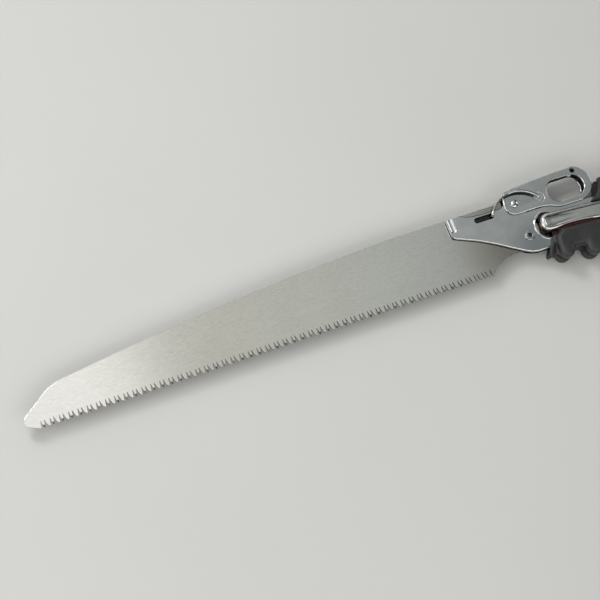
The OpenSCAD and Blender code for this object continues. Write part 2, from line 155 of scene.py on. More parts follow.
level = put(sky, "ShaderNodeMix", {"Factor": behind, "A": front_light, "B": back_light}).outputs["Result"]
tint = put(sky, "ShaderNodeValToRGB", {"Fac": aim["X"]})
stops = tint.color_ramp.elements
for place, colour in tints.items():
    stops.new(place).color = (*colour, 1.0)
stops.remove(stops[0])
stops.remove(stops[-1])
light = put(sky, "ShaderNodeBackground", {"Color": tint.outputs["Color"], "Strength": level})
put(sky, "ShaderNodeOutputWorld", {"Surface": light.outputs["Background"]})
print("sky has", len(sky.nodes), "nodes and tints at", [round(stop.position, 2) for stop in stops])

# %% [markdown]
# Soft boxes stand in that sky, as in a product studio. A wide one over the tip lights the blade, one in front
# draws the bright line along the fork's rim, one behind catches the upper edges, and those at the left and
# right put highlights on round pieces. A small, strong key gives the shadow its direction. Area lamps show
# in polished metal as bright rectangles, so each is given by how bright it looks there.


# %% Soft boxes
def soft_box(name, place, target, width, height, radiance):
    """A rectangular lamp that looks as bright as radiance when it is mirrored."""
    lamp = bpy.data.lights.new(name, "AREA")
    lamp.shape = "RECTANGLE"
    lamp.size = width
    lamp.size_y = height
    lamp.energy = radiance * math.pi * width * height
    box = bpy.data.objects.new(name, lamp)
    box.location = place
    box.rotation_euler = (Vector(target) - Vector(place)).to_track_quat("-Z", "Y").to_euler()
    bpy.context.scene.collection.objects.link(box)
    print(name, "gives", round(lamp.energy, 1), "W")


saw_middle = on_saw(-250, 0)
soft_box("over_tip", (-0.89, 0.45, 1.60), (-0.89, 0.45, 0.0), 1.3, 1.6, 0.64)
soft_box("front_box", (-0.25, -1.4, 1.25), saw_middle, 2.8, 1.2, 1.6)
soft_box("back_strip", (0.1, 1.7, 0.95), saw_middle, 1.8, 0.9, 1.0)
soft_box("left_box", (-2.0, -0.15, 0.85), saw_middle, 1.5, 1.1, 2.4)
soft_box("right_box", (1.7, 0.3, 0.55), pivot, 0.9, 0.6, 2.2)
soft_box("key", (-0.9, 1.3, 1.5), saw_middle, 0.6, 0.6, 13.0)

# %% [markdown]
# The floor is one pale disc, so wide that its edge lies far behind the saw, and a little uneven in tone so
# that it doesn't look printed. A curved sweep of paper would do too, but a flat disc is simpler and keeps
# the same light on the saw from every angle.

# %% Mixing two shades
# A Mix node has sockets for each kind of data, and these are the places of its colours.
mix_dark = 6
mix_light = 7
mix_result = 2


def object_place(tree):
    """Object coordinates, which stay with a piece when it moves."""
    return put(tree, "ShaderNodeTexCoord").outputs["Object"]


def shade(colour):
    """A colour as a Mix node takes it: a link as it is, or three numbers made opaque."""
    return colour if isinstance(colour, bpy.types.NodeSocket) else (*colour, 1.0)


def two_shades(tree, mask, dark, light):
    """A colour that goes from dark to light as the mask goes from 0 to 1."""
    inputs = {"Factor": mask, mix_dark: shade(dark), mix_light: shade(light)}
    return put(tree, "ShaderNodeMix", inputs, data_type="RGBA").outputs[mix_result]


# %% Floor
floor_radius = 8.0
floor_sides = 96
floor_noise = 3.0
floor_roughness = 0.85
floor_mesh = bpy.data.meshes.new("floor")
disc = bmesh.new()
bmesh.ops.create_circle(disc, cap_ends=True, radius=floor_radius, segments=floor_sides)
disc.to_mesh(floor_mesh)
disc.free()
floor = bpy.data.objects.new("floor", floor_mesh)
bpy.context.scene.collection.objects.link(floor)

floor_paint = bpy.data.materials.new("pale_floor")
floor_paint.use_nodes = True
tree = floor_paint.node_tree
tone = put(tree, "ShaderNodeTexNoise",
           {"Vector": object_place(tree), "Scale": floor_noise, "Detail": 4.0}).outputs["Fac"]
paint = tree.nodes["Principled BSDF"]
tree.links.new(two_shades(tree, tone, (0.57, 0.57, 0.55), (0.62, 0.62, 0.60)), paint.inputs["Base Color"])
paint.inputs["Roughness"].default_value = floor_roughness
floor_mesh.materials.append(floor_paint)
print("floor is", 2 * floor_radius, "m across")

# %% [markdown]
# Three effects turn up on more than one finish, so each is a node group that is built once. Brush lines
# are noise stretched along one direction, as a belt leaves them. Clouds are large soft patches, as plating,
# handling and oil leave them. Pebbles are the small round bumps of a moulded skin. Painted pictures could
# carry these marks too, but noise has no seams and needs no unwrapping.


# %% Node groups
def new_group(name, inputs, output):
    """An empty node group with a Vector, the numbers named in inputs and one output value."""
    group = bpy.data.node_groups.new(name, "ShaderNodeTree")
    group.interface.new_socket("Vector", in_out="INPUT", socket_type="NodeSocketVector")
    for label, value in inputs.items():
        socket = group.interface.new_socket(label, in_out="INPUT", socket_type="NodeSocketFloat")
        socket.default_value = value
    group.interface.new_socket(output, in_out="OUTPUT", socket_type="NodeSocketFloat")
    entry = put(group, "NodeGroupInput")
    return group, entry.outputs


brush_lines, entry = new_group("brush_lines", {"Along": 8.0, "Across": 900.0}, "Lines")
stretch = put(brush_lines, "ShaderNodeCombineXYZ",
              {"X": entry["Along"], "Y": entry["Across"], "Z": entry["Across"]}).outputs["Vector"]
pulled = put(brush_lines, "ShaderNodeVectorMath", {0: entry["Vector"], 1: stretch},
             operation="MULTIPLY").outputs["Vector"]
streaks = put(brush_lines, "ShaderNodeTexNoise", {"Vector": pulled, "Scale": 1.0, "Detail": 4.0})
put(brush_lines, "NodeGroupOutput", {"Lines": streaks.outputs["Fac"]})

clouds, entry = new_group("clouds", {"Scale": 25.0, "Low": 0.35, "High": 0.65}, "Cloud")
puffs = put(clouds, "ShaderNodeTexNoise",
            {"Vector": entry["Vector"], "Scale": entry["Scale"], "Detail": 5.0, "Roughness": 0.6})
put(clouds, "NodeGroupOutput", {"Cloud": ramp(clouds, puffs.outputs["Fac"], entry["Low"], entry["High"])})

pebbles, entry = new_group("pebbles", {"Scale": 1200.0}, "Pebble")
cells = put(pebbles, "ShaderNodeTexVoronoi",
            {"Vector": entry["Vector"], "Scale": entry["Scale"], "Smoothness": 1.0}, feature="SMOOTH_F1")
put(pebbles, "NodeGroupOutput", {"Pebble": cells.outputs["Distance"]})
print("groups:", [group.name for group in bpy.data.node_groups])

# %% [markdown]
# Every finish is then one Principled shader: two shades mixed by a mask, a roughness that follows such marks,
# and on some a slight bump. A mask is a function that builds its nodes in whichever tree it is given, so that
# a recipe reads as one short line and can be compared with its neighbours.


# %% Masks
def effect(tree, group, turn=0.0, **inputs):
    """Places a node group on Object coordinates, turned about Z to follow a tilted piece."""
    where = object_place(tree)
    if turn:
        where = put(tree, "ShaderNodeMapping", {"Vector": where, "Rotation": turn * up}).outputs["Vector"]
    node = put(tree, "ShaderNodeGroup", node_tree=group)
    tree.links.new(where, node.inputs["Vector"])
    for label, value in inputs.items():
        node.inputs[label.capitalize()].default_value = value
    return node.outputs[0]


def clouded(scale, low=0.35, high=0.65):
    """Soft patches; a larger scale makes them smaller."""
    return lambda tree: effect(tree, clouds, scale=scale, low=low, high=high)


def brushed(along, across, turn=0.0):
    """Strokes; larger numbers make them shorter and finer."""
    return lambda tree: effect(tree, brush_lines, turn, along=along, across=across)


def pebbled(scale):
    """Small round bumps."""
    return lambda tree: effect(tree, pebbles, scale=scale)


# %% Recipes
metal = 1.0
moulded = 0.0


def shades(mask, dark, light):
    """A colour between two shades, by a mask."""
    return lambda tree: two_shades(tree, mask(tree), dark, light)


def levels(mask, low, high):
    """A number between two levels, by a mask."""
    return lambda tree: put(tree, "ShaderNodeMapRange",
                            {"Value": mask(tree), "To Min": low, "To Max": high}).outputs["Result"]


def finish(name, metallic, colour, roughness, height=None, depth=0.0):
    """A material from functions that build its colour, roughness and bump height in the tree."""
    material = bpy.data.materials.new(name)
    material.use_nodes = True
    tree = material.node_tree
    shader = tree.nodes["Principled BSDF"]
    shader.inputs["Metallic"].default_value = metallic
    tree.links.new(colour(tree), shader.inputs["Base Color"])
    tree.links.new(roughness(tree), shader.inputs["Roughness"])
    if height:
        bump = put(tree, "ShaderNodeBump", {"Height": height(tree), "Strength": 1.0, "Distance": depth * mm})
        tree.links.new(bump.outputs["Normal"], shader.inputs["Normal"])
    print("finish", name)
    return material


# %% [markdown]
# The blade is ground on a belt, so its strokes run along its length, and the hard chrome over them is satin.
# The teeth are hardened with a flash of heat that leaves the ground facets straw brown, and the gullets are
# painted near black as painted shade.
# The steel is painted darker round the pivot as painted shade, and a dark patch of painted shade lies behind the
# wire's slot, where the blade sits in the gap under the plate. Both fade with the distance from a point, which
# follows the blade in every pose, where a painted patch would need a picture.

# %% Blade's painted shade
heel_shade_reach = (20, 105)
heel_shade_colour = (0.30, 0.272, 0.241)
slot_shade_middle = (-40.0, 33.0)
slot_shade_size = (15.0, 5.5, 50.0)
slot_shade_edge = (0.8, 1.2)
slot_shade_colour = (0.045, 0.042, 0.038)


def away_from(tree, point, near, far):
    """0 nearer to a point than near, rising to 1 at far."""
    reach = put(tree, "ShaderNodeVectorMath", {0: object_place(tree), 1: point}, operation="DISTANCE")
    return ramp(tree, reach.outputs["Value"], near * mm, far * mm)


def slot_shade_mask(tree):
    """0 in the long patch of painted shade on the blade behind the fork's slot, 1 outside it."""
    offset = put(tree, "ShaderNodeVectorMath", {0: object_place(tree), 1: on_saw(*slot_shade_middle)},
                 operation="SUBTRACT").outputs["Vector"]
    share = put(tree, "ShaderNodeVectorMath", {0: offset, 1: [1 / (size * mm) for size in slot_shade_size]},
                operation="MULTIPLY").outputs["Vector"]
    reach = put(tree, "ShaderNodeVectorMath", {0: share}, operation="LENGTH").outputs["Value"]
    return ramp(tree, reach, *slot_shade_edge)


# %% Blade finishes
cloud_share = 0.12


def blade_colour(tree):
    """Satin steel with streaks and faint clouds, with painted shade near the pivot and behind the slot."""
    strokes = brushed(240, 900)(tree)
    patches = clouded(14)(tree)
    marks = put(tree, "ShaderNodeMix", {"Factor": cloud_share, "A": strokes, "B": patches}).outputs["Result"]
    bare = two_shades(tree, marks, (0.51, 0.51, 0.487), (0.70, 0.702, 0.675))
    # Painted shade: the steel darkens toward the pivot and the fork plates.
    heel_shaded = two_shades(tree, away_from(tree, pivot, *heel_shade_reach), heel_shade_colour, bare)
    # Painted shade: a dark patch where the blade lies in shade behind the fork's slot.
    return two_shades(tree, slot_shade_mask(tree), slot_shade_colour, heel_shaded)


satin_blade = finish("satin_blade", metal, blade_colour, levels(brushed(14, 1100), 0.14, 0.22),
                     brushed(10, 1500), 0.004)
tempered_facet = finish("tempered_facet", metal, shades(clouded(700), (0.12, 0.10, 0.07), (0.27, 0.23, 0.17)),
                        levels(brushed(900, 60), 0.25, 0.42))
# Painted shade: the gullet walls are nearly black, standing for the shade between the teeth.
painted_shade_gullet = finish("painted_shade_gullet", metal,
                      shades(clouded(500), (0.020, 0.018, 0.016), (0.050, 0.044, 0.038)),
                      levels(clouded(900), 0.35, 0.50))

# %% [markdown]
# The fork plates and the lever are pressed from sheet and plated bright. Plating isn't a mirror: it is
# faintly cloudy, and handling leaves it a little duller in patches. Turned pieces are plain chrome, which is
# brighter and smoother, and the same brighter chrome on rounded rims is painted highlight. The spine is satin,
# with strokes along the tilted handle.

# %% Plated finishes
moat_middle = (25.0, 5.0)
moat_radius = 14.4
moat_edge = 1
moat_shade_colour = (0.05, 0.046, 0.04)
bolt_shade_middle = (4, -16)
bolt_shade_reach = (6, 46)
bolt_shade_colour = (0.36, 0.38, 0.395)


def plate_colour(tree):
    """Cloudy plating, with painted shade below the bolt and inside the opening round the spine's nose."""
    bare = two_shades(tree, clouded(60)(tree), (0.52, 0.54, 0.545), (0.575, 0.59, 0.59))
    # Painted shade: the plate darkens toward a point below the bolt.
    bolt_shaded = two_shades(tree, away_from(tree, on_saw(*bolt_shade_middle), *bolt_shade_reach), bolt_shade_colour, bare)
    # Painted shade: nearly black inside the opening round the spine's nose.
    outside = away_from(tree, on_saw(*moat_middle), moat_radius, moat_radius + moat_edge)
    return two_shades(tree, outside, moat_shade_colour, bolt_shaded)


plated_sheet = finish("plated_sheet", metal, plate_colour, levels(clouded(180, 0.3, 0.7), 0.11, 0.18),
                      clouded(260, 0.2, 0.8), 0.006)
chrome_and_painted_highlight = finish("chrome_and_painted_highlight", metal, shades(clouded(220), (0.62, 0.63, 0.64), (0.70, 0.71, 0.72)),
                       levels(clouded(420), 0.06, 0.13))
spring_wire = finish("spring_wire", metal, shades(clouded(300), (0.52, 0.52, 0.53), (0.62, 0.62, 0.63)),
                     levels(clouded(600), 0.06, 0.10))
spine_satin = finish("spine_satin", metal, shades(clouded(40), (0.54, 0.54, 0.525), (0.60, 0.60, 0.585)),
                     levels(brushed(20, 900, -handle_tilt), 0.20, 0.27),
                     brushed(14, 1100, -handle_tilt), 0.0008)

# %% [markdown]
# Inside the joint there are bronze washers that slide on the blade, and plain zinc plated hardware. Where shade
# falls, as in a socket, under a fold or in a crease, a nearly black painted shade stands in for it, and a darker
# grey painted shade takes the highlight off an edge.

# %% Inner metals and painted shade
# Painted shade: a nearly black plating for faces that lie in shade.
painted_shade_steel = finish("painted_shade_steel", metal, shades(clouded(200), (0.035, 0.034, 0.031), (0.085, 0.083, 0.078)),
                     levels(clouded(400), 0.30, 0.46))
# Painted shade: a darker grey that takes the highlight off an edge.
painted_shade_edge = finish("painted_shade_edge", metal, shades(clouded(200), (0.17, 0.165, 0.16), (0.23, 0.225, 0.22)),
                   levels(clouded(400), 0.34, 0.44))
bronze = finish("bearing_bronze", metal, shades(clouded(150), (0.42, 0.27, 0.12), (0.60, 0.42, 0.20)),
                levels(clouded(300), 0.24, 0.42))
zinc = finish("zinc_plate", metal, shades(clouded(240), (0.43, 0.44, 0.45), (0.56, 0.57, 0.58)),
              levels(clouded(500), 0.22, 0.38))

# %% [markdown]
# The grip is black rubber moulded over a red nylon core, and the end cap is black nylon. Rubber is dark and
# dull, with a fine skin from the mould, which is too small to model and so is a bump of pebbles.

# %% Moulded finishes
grip_rubber = finish("grip_rubber", moulded,
                     shades(clouded(45), (0.019, 0.020, 0.020), (0.032, 0.033, 0.032)),
                     levels(clouded(90), 0.40, 0.54), pebbled(1500), 0.05)
black_nylon = finish("black_nylon", moulded,
                     shades(clouded(60), (0.016, 0.016, 0.017), (0.027, 0.027, 0.028)),
                     levels(clouded(200), 0.38, 0.45), pebbled(2600), 0.02)
red_nylon = finish("red_nylon", moulded, shades(clouded(80), (0.14, 0.016, 0.010), (0.19, 0.020, 0.012)),
                   levels(clouded(200), 0.32, 0.46))

# %% [markdown]
# Most pieces start as a copy of their solid. A copy comes as loose triangles, so its doubles are merged and
# its flat faces made whole again. Then the sharp edges are found by the angle between their two faces and
# rounded with a bevel, because no pressed or turned edge is perfectly sharp and a thin bright line on it is
# what makes metal read as metal. A bevel modifier could do this to a whole piece, but here each kind of edge
# gets its own radius.

# %% Copying
double_reach = 0.002
flat_angle = math.radians(0.3)


def merged_copy(*nodes):
    """A copy of CAD nodes with their triangles joined and their flat faces made whole."""
    shape = bmesh.new()
    for node in nodes:
        shape.from_mesh(frame["nodes"][node].data)
    bmesh.ops.remove_doubles(shape, verts=shape.verts, dist=double_reach * mm)
    bmesh.ops.dissolve_limit(shape, angle_limit=flat_angle, verts=shape.verts, edges=shape.edges)
    return shape


# %% Measuring edges and faces
def middle_of(edge):
    """An edge's middle, in millimetres from the pivot."""
    return from_pivot((edge.verts[0].co + edge.verts[1].co) / 2)


def centre_of(face):
    """A face's middle, in millimetres from the pivot."""
    return from_pivot(face.calc_center_median())


def bend_of(edge):
    """The angle between an edge's two faces, in degrees."""
    return math.degrees(edge.calc_face_angle()) if len(edge.link_faces) == 2 else 0.0


def wall_depth(edge):
    """How far the steeper of an edge's two faces reaches along Z, in millimetres."""
    wall = min(edge.link_faces, key=lambda face: abs(face.normal.z))
    heights = [vert.co.z for vert in wall.verts]
    return (max(heights) - min(heights)) / mm


def distance(point, middle):
    """How far a point lies from an upright axis."""
    return math.hypot(point[0] - middle[0], point[1] - middle[1])


# %% Rounding and finishing
# Places in a piece's list of finishes, after the main one at 0.
second = 1
third = 2


def bevel(shape, edges, width, segments, clamp=False):
    """Rounds edges, and gives back the new faces."""
    made = bmesh.ops.bevel(shape, geom=edges, offset=width, offset_type="OFFSET", affect="EDGES",
                           segments=segments, profile=0.5, material=-1, clamp_overlap=clamp)
    return made["faces"]


def round_over(shape, radius, where=None, least=50, segments=3, clamp=True):
    """Rounds the edges that are sharper than least degrees and that pass the test."""
    edges = [edge for edge in shape.edges if bend_of(edge) > least and (where is None or where(edge))]
    return bevel(shape, edges, radius * mm, segments, clamp)


def finish_faces(faces, place):
    """Gives faces one of their piece's finishes, by its place in the list."""
    for face in faces:
        face.material_index = place


# %% Drawing out edges
def only(kind, geometry):
    """The vertices or edges among a bmesh operator's results."""
    return [item for item in geometry if isinstance(item, kind)]


def lengthened(shape, edges, shift):
    """Draws edges out by a shift, and gives back the new edges."""
    grown = bmesh.ops.extrude_edge_only(shape, edges=edges)["geom"]
    bmesh.ops.translate(shape, verts=only(bmesh.types.BMVert, grown), vec=shift)
    return only(bmesh.types.BMEdge, grown)


def turned(shape, edges, centre, angle, steps, axis=up):
    """Spins edges about an axis through a place of the row frame, and gives back the last ones."""
    spun = bmesh.ops.spin(shape, geom=edges, cent=centre, axis=axis, angle=angle, steps=steps)
    return only(bmesh.types.BMEdge, spun["geom_last"])


def ring_across(shape, centre, reach, angle, height, half_width, half_height, segments):
    """An upright ellipse at an angle round a centre, ready to be spun about the centre's axis."""
    outward = Vector((math.cos(angle), math.sin(angle), 0.0))
    place = Matrix((outward * half_width, up * half_height, outward.cross(up))).transposed().to_4x4()
    place.translation = on_saw(*(Vector(centre) + reach * outward.xy), height)
    verts = bmesh.ops.create_circle(shape, segments=segments, radius=mm, matrix=place)["verts"]
    return list({edge for vert in verts for edge in vert.link_edges})


# %% [markdown]
# A finished shape becomes an object that rides on one body of the saw and stands in for its solids. Its faces
# are shaded smooth, except across edges that bend more than a crease, and the normals are weighted by area,
# which keeps large flats flat beside their small rounds.


# %% Making a piece
def as_piece(shape, name, nodes, *materials, crease=35):
    """Makes the bmesh an object that stands for CAD nodes and rides on their body."""
    for face in shape.faces:
        face.smooth = True
    for edge in shape.edges:
        edge.smooth = edge.smooth and bend_of(edge) < crease
    mesh = bpy.data.meshes.new(name)
    shape.to_mesh(mesh)
    shape.free()
    for material in materials:
        mesh.materials.append(material)
    piece = bpy.data.objects.new(name, mesh)
    bpy.context.scene.collection.objects.link(piece)
    even = piece.modifiers.new("even_normals", "WEIGHTED_NORMAL")
    even.keep_sharp = True
    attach(piece, body_of[nodes[0]])
    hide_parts(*nodes)
    print(name, "has", len(mesh.polygons), "faces")


# %% [markdown]
# The blade is cut from one sheet. Its back and nose are broken with a stone, so they get a small round,
# while the teeth stay sharp. The solid turns down to the nose in short straights. They are joined into one
# corner and beveled again with more steps, which gives a truer curve than smoothing would. The faces that
# lean at the tips are the ground facets, and the upright ones between the teeth are the gullets.

# %% Blade sizes
tooth_top = -20.0
nose_end = -553.0
heel_start = -56.0
stone_round = 0.3
stone_angle = 60
flattest = 0.98
steepest = 0.2
facet_down = -0.3
shoulder_span = (-542.0, -523.0)
shoulder_low = 0.0
shoulder_corner = (-531.1, 11.1)
shoulder_reach = 12.0
shoulder_steps = 16
sheet_edge = 1.0
print("shoulder reaches", shoulder_reach, "mm along each side of its corner")


# %% Blade
def is_back_or_nose(edge):
    """Away from the teeth, which keep their sharp edges."""
    point = middle_of(edge)
    return point.y > tooth_top or point.x < nose_end


def is_shoulder_edge(edge):
    """Across the blade's thickness, where the back turns down to the nose."""
    upright = abs(edge.verts[0].co.z - edge.verts[1].co.z) > sheet_edge * mm
    point = middle_of(edge)
    return upright and shoulder_span[0] < point.x < shoulder_span[1] and point.y > shoulder_low


def round_shoulder(blade):
    """Joins the short straights of the shoulder into one corner and rounds it."""
    kept, *others = [edge for edge in blade.edges if is_shoulder_edge(edge)]
    bmesh.ops.dissolve_edges(blade, edges=others, use_verts=True)
    for vert in kept.verts:
        vert.co.xy = on_saw(*shoulder_corner).xy
    bevel(blade, [kept], shoulder_reach * mm, shoulder_steps)
    print("shoulder had", 1 + len(others), "corners")


def is_among_teeth(face):
    """Below the gullets' tops, between nose and heel."""
    place = centre_of(face)
    return place.y < tooth_top and nose_end < place.x < heel_start


blade = merged_copy("saw_blade")
round_shoulder(blade)
round_over(blade, stone_round, is_back_or_nose, stone_angle, segments=2)
blade.normal_update()
toothed = [face for face in blade.faces if is_among_teeth(face)]
finish_faces([face for face in toothed
              if steepest < abs(face.normal.z) < flattest and face.normal.y < facet_down], second)
# Painted shade: the upright faces between the teeth take the near-black gullet finish.
finish_faces([face for face in toothed if abs(face.normal.z) < steepest], third)
as_piece(blade, "blade_with_teeth", ["saw_blade"], satin_blade, tempered_facet, painted_shade_gullet, crease=25)

# %% [markdown]
# The fork plates are stamped, and the lower edge is rolled over, which draws a bright line along it. The
# roll goes first, with a large radius, and every other edge is only broken. A low bead is pressed round the
# opening for the spine's nose. It is spun from a flat ellipse and half sunk into the plate, since a bead
# pushed out of the plate's own faces would need many more of them. The roll and the bead take the brighter chrome
# as painted highlight, and the upper edge is painted nearly black as painted shade.

# %% Fork sizes
plate_face = 4.5
outer_rim = 4.4
roll_radius = 1.8
roll_stop = 24
roll_corner = (-80, 23)
roll_slope = -0.4
bolt_clear = 6
upper_radius = 0.9
upper_angle = 40
upper_low = 38
upper_span = (-66, -13)
broken_edge = 0.35
broken_angle = 45
bead_half = 1.25
bead_high = 0.8
bead_reach = moat_radius + bead_half
bead_start = math.radians(98)
bead_sweep = math.radians(180)
bead_sides = 16
bead_steps = 40
print("bead is", round(bead_sweep * bead_reach, 1), "mm long")


# %% Fork plates
def is_rolled_edge(edge):
    """On the lower outline of a fork plate, clear of the bolt and of the opening round the spine's nose."""
    point = middle_of(edge)
    below = point.y < roll_corner[1] + roll_slope * (point.x - roll_corner[0])
    clear = distance(point, moat_middle) > moat_radius + moat_edge and distance(point, (0, 0)) > bolt_clear
    return abs(point.z) > outer_rim and point.x < roll_stop and below and clear


def is_upper_edge(edge):
    """On the upper outline of a fork plate, in front of the lever."""
    point = middle_of(edge)
    return abs(point.z) > outer_rim and point.y > upper_low and upper_span[0] < point.x < upper_span[1]


def press_bead(plate, face):
    """Adds the bead to a fork plate: a flat ellipse spun round the opening, half sunk into the face."""
    flat = set(plate.faces)
    first = ring_across(plate, moat_middle, bead_reach, bead_start, face, bead_half, bead_high, bead_sides)
    last = turned(plate, first, on_saw(*moat_middle, face), bead_sweep, bead_steps)
    bmesh.ops.holes_fill(plate, edges=first + last, sides=0)
    bmesh.ops.recalc_face_normals(plate, faces=plate.faces)
    # Painted highlight: the bead takes the brighter chrome.
    finish_faces(set(plate.faces) - flat, third)


for side, face in (("left", plate_face), ("right", -plate_face)):
    plate = merged_copy(side + "_cheek")
    # Painted highlight: the rolled edge takes the brighter chrome.
    finish_faces(round_over(plate, roll_radius, is_rolled_edge, segments=6), third)
    # Painted shade: the upper edge is painted nearly black.
    finish_faces(round_over(plate, upper_radius, is_upper_edge, upper_angle, segments=4), second)
    round_over(plate, broken_edge, least=broken_angle)
    press_bead(plate, face)
    as_piece(plate, side + "_fork_plate", [side + "_cheek"], plated_sheet, painted_shade_steel, chrome_and_painted_highlight)

# %% [markdown]
# The lever is folded from one sheet like a narrow tray, so the bend along its back is round, and the rest
# of its edges are tumbled. The solid's fold stops where the round end starts, so its end is drawn out and
# spun along that end, as the press would carry it. The rim that the hand and the eye meet is the roundest,
# and less so beside the small hole, where little sheet is left; these rims take the brighter chrome as painted
# highlight. The inside of the fold and the wall of the dish under the wire are painted nearly black as painted
# shade.

# %% Lever sizes
sheet_inside = 5.0
sheet_outside = 6.8
through_sheet = (1.0, 2.0)
rim_height = 6.0
rim_angle = 40
hole_start = 50.0
hole_stop = 69.0
hole_level = 37.5
hole_radius = 12.5
hole_spare = 0.6
bore_clear = 5
relief_hole = (74.6, 53.8)
relief_clear = 9
eye_recess = 6.0
eye_spare = 0.3
eye_height = 6.7
eye_rim_start = wire_eye.x - 2
fold_height = 6.6
fold_low = 54.5
fold_span = (3, 67)
fold_radius = 1.5
fold_turn = math.radians(50)
fold_steps = 10
roof_end = (68.0, 57.3)
end_middle = (71.5, 38.7)
dish_low = 5.5
dish_slope = (0.95, 0.99)
dish_bend = (3, 25)
sheet_round = 0.5
last_round = 0.2
tiny_edge = 0.1
print("lever's sheet is", round(sheet_outside - sheet_inside, 2), "mm thick")


# %% Lever edges
def is_folded_edge(edge):
    """Along the roof, where the sheet is bent over."""
    point = middle_of(edge)
    return abs(point.z) > fold_height and point.y > fold_low and fold_span[0] < point.x < fold_span[1]


def is_sheet_rim(edge):
    """Where the outer face meets a wall that goes through the sheet, outside the holes for pin and wire."""
    point = middle_of(edge)
    clear = all(distance(point, hole) > bore_clear for hole in (lever_pin, wire_eye))
    return abs(point.z) > rim_height and through_sheet[0] < wall_depth(edge) < through_sheet[1] and clear


def is_wide_rim(edge):
    """A rim with enough sheet behind it for a large round."""
    return is_sheet_rim(edge) and distance(middle_of(edge), relief_hole) > relief_clear


def is_inner_rim(edge):
    """On the long finger hole's rim inside the fold."""
    point = middle_of(edge)
    past_end = max(hole_start - point.x, point.x - hole_stop, 0.0)
    on_hole = abs(math.hypot(past_end, point.y - hole_level) - hole_radius) < hole_spare
    return on_hole and abs(abs(point.z) - sheet_inside) < tiny_edge


def is_eye_rim(edge):
    """On the rim of the round recess for the wire's eyelet, on the side of the finger hole."""
    point = middle_of(edge)
    on_circle = abs(distance(point, wire_eye) - eye_recess) < eye_spare
    return on_circle and abs(point.z) > eye_height and point.x > eye_rim_start


# %% Lever faces
inside_spare = 0.01
turned_in = -0.004
turned_down = -0.9


def is_dish_wall(face):
    """On the sloping wall of the dish pressed under the wire."""
    return dish_slope[0] < abs(face.normal.z) < dish_slope[1] and abs(centre_of(face).z) > dish_low


def is_inside_fold(face):
    """Turned to the middle of the fold, or down under its roof."""
    place = centre_of(face)
    inward = face.normal.z * place.z < turned_in or face.normal.y < turned_down
    return inward and abs(place.z) < sheet_inside + inside_spare


def carry_fold_round(lever):
    """Lengthens the roof to the start of the lever's round end, then bends it down along that end."""
    end = Vector((*roof_end, 0.0))
    closest = min(lever.faces, key=lambda face: (centre_of(face) - end).length)
    rim = list(closest.edges)
    bmesh.ops.delete(lever, geom=[closest], context="FACES_ONLY")
    straight = lengthened(lever, rim, Vector(((end_middle[0] - roof_end[0]) * mm, 0.0, 0.0)))
    last = turned(lever, straight, on_saw(*end_middle), -fold_turn, fold_steps)
    bmesh.ops.holes_fill(lever, edges=last, sides=0)
    bmesh.ops.recalc_face_normals(lever, faces=lever.faces)


# %% Lever
lever = merged_copy("lock_lever")
bmesh.ops.remove_doubles(lever, verts=lever.verts, dist=tiny_edge * mm)
carry_fold_round(lever)
lever.normal_update()
dish_wall = [face for face in lever.faces if is_dish_wall(face)]
print("dish wall has", len(dish_wall), "faces")
# Painted shade: the dish wall under the wire is painted nearly black.
finish_faces(dish_wall, second)
for edge in lever.edges:
    is_dish_edge = dish_bend[0] < bend_of(edge) < dish_bend[1] and abs(middle_of(edge).z) > dish_low
    edge.smooth = not is_dish_edge
round_over(lever, fold_radius, is_folded_edge, segments=5, clamp=False)
# Painted highlight: the rims' rounds take the brighter chrome.
for radius, where, segments in ((1.05, is_wide_rim, 6), (0.7, is_inner_rim, 5), (0.45, is_eye_rim, 4)):
    finish_faces(round_over(lever, radius, where, rim_angle, segments, clamp=False), third)
round_over(lever, sheet_round, is_sheet_rim, rim_angle)
round_over(lever, last_round, least=rim_angle)
lever.normal_update()
# Painted shade: the inside of the fold is painted nearly black.
finish_faces([face for face in lever.faces if is_inside_fold(face)], second)
as_piece(lever, "folded_lever", ["lock_lever"], plated_sheet, painted_shade_steel, chrome_and_painted_highlight)

# %% [markdown]
# Pins, eyelets, washers, bolts and nuts are turned or pressed, and their solids already have the right form.
# They could be modelled again with finer rounds, but they are small and half of them lie inside the joint, so
# a copy with its edges broken is enough. One function does that for each.

# %% Hardware
hardware_angle = 55


def break_edges(node, name, radius, material):
    """A copy of a node with all its sharp edges rounded a little."""
    part = merged_copy(node)
    round_over(part, radius, least=hardware_angle, segments=2)
    as_piece(part, name, [node], material)


break_edges("lever_pin", "domed_lever_pin", 0.2, plated_sheet)
break_edges("toggle_eyelets", "wire_eyelets", 0.15, chrome_and_painted_highlight)
break_edges("lanyard_eyelet", "lanyard_ring", 0.25, chrome_and_painted_highlight)
break_edges("spring_washer", "domed_spring_washer", 0.2, zinc)
break_edges("pivot_nut", "pivot_hex_nut", 0.4, zinc)
break_edges("back_bolts", "handle_bolts", 0.25, zinc)
break_edges("back_nuts", "handle_nuts", 0.3, zinc)
break_edges("lock_tooth", "locking_tooth", 0.3, zinc)
break_edges("closing_stop", "closing_stop_pin", 0.2, zinc)
break_edges("lever_pin_spacer", "lever_spacer", 0.2, zinc)
break_edges("lever_washers", "lever_thin_washers", 0.1, zinc)
break_edges("pivot_bush", "blade_bush", 0.15, bronze)
break_edges("thrust_washers", "blade_washers", 0.15, bronze)

# %% [markdown]
# The pivot bolt has a low head with a hexagon socket. Its rounded edges take the brighter chrome as painted
# highlight, and the socket is painted nearly black as painted shade. A painted mask could part the two, but the
# faces already do: the new ones of the bevel are the highlighted edges, and those inside the socket's radius are
# the shaded ones.

# %% Pivot bolt
bolt_edge = 0.35
bolt_angle = 35
socket_reach = 3.1
socket_top = 6.2


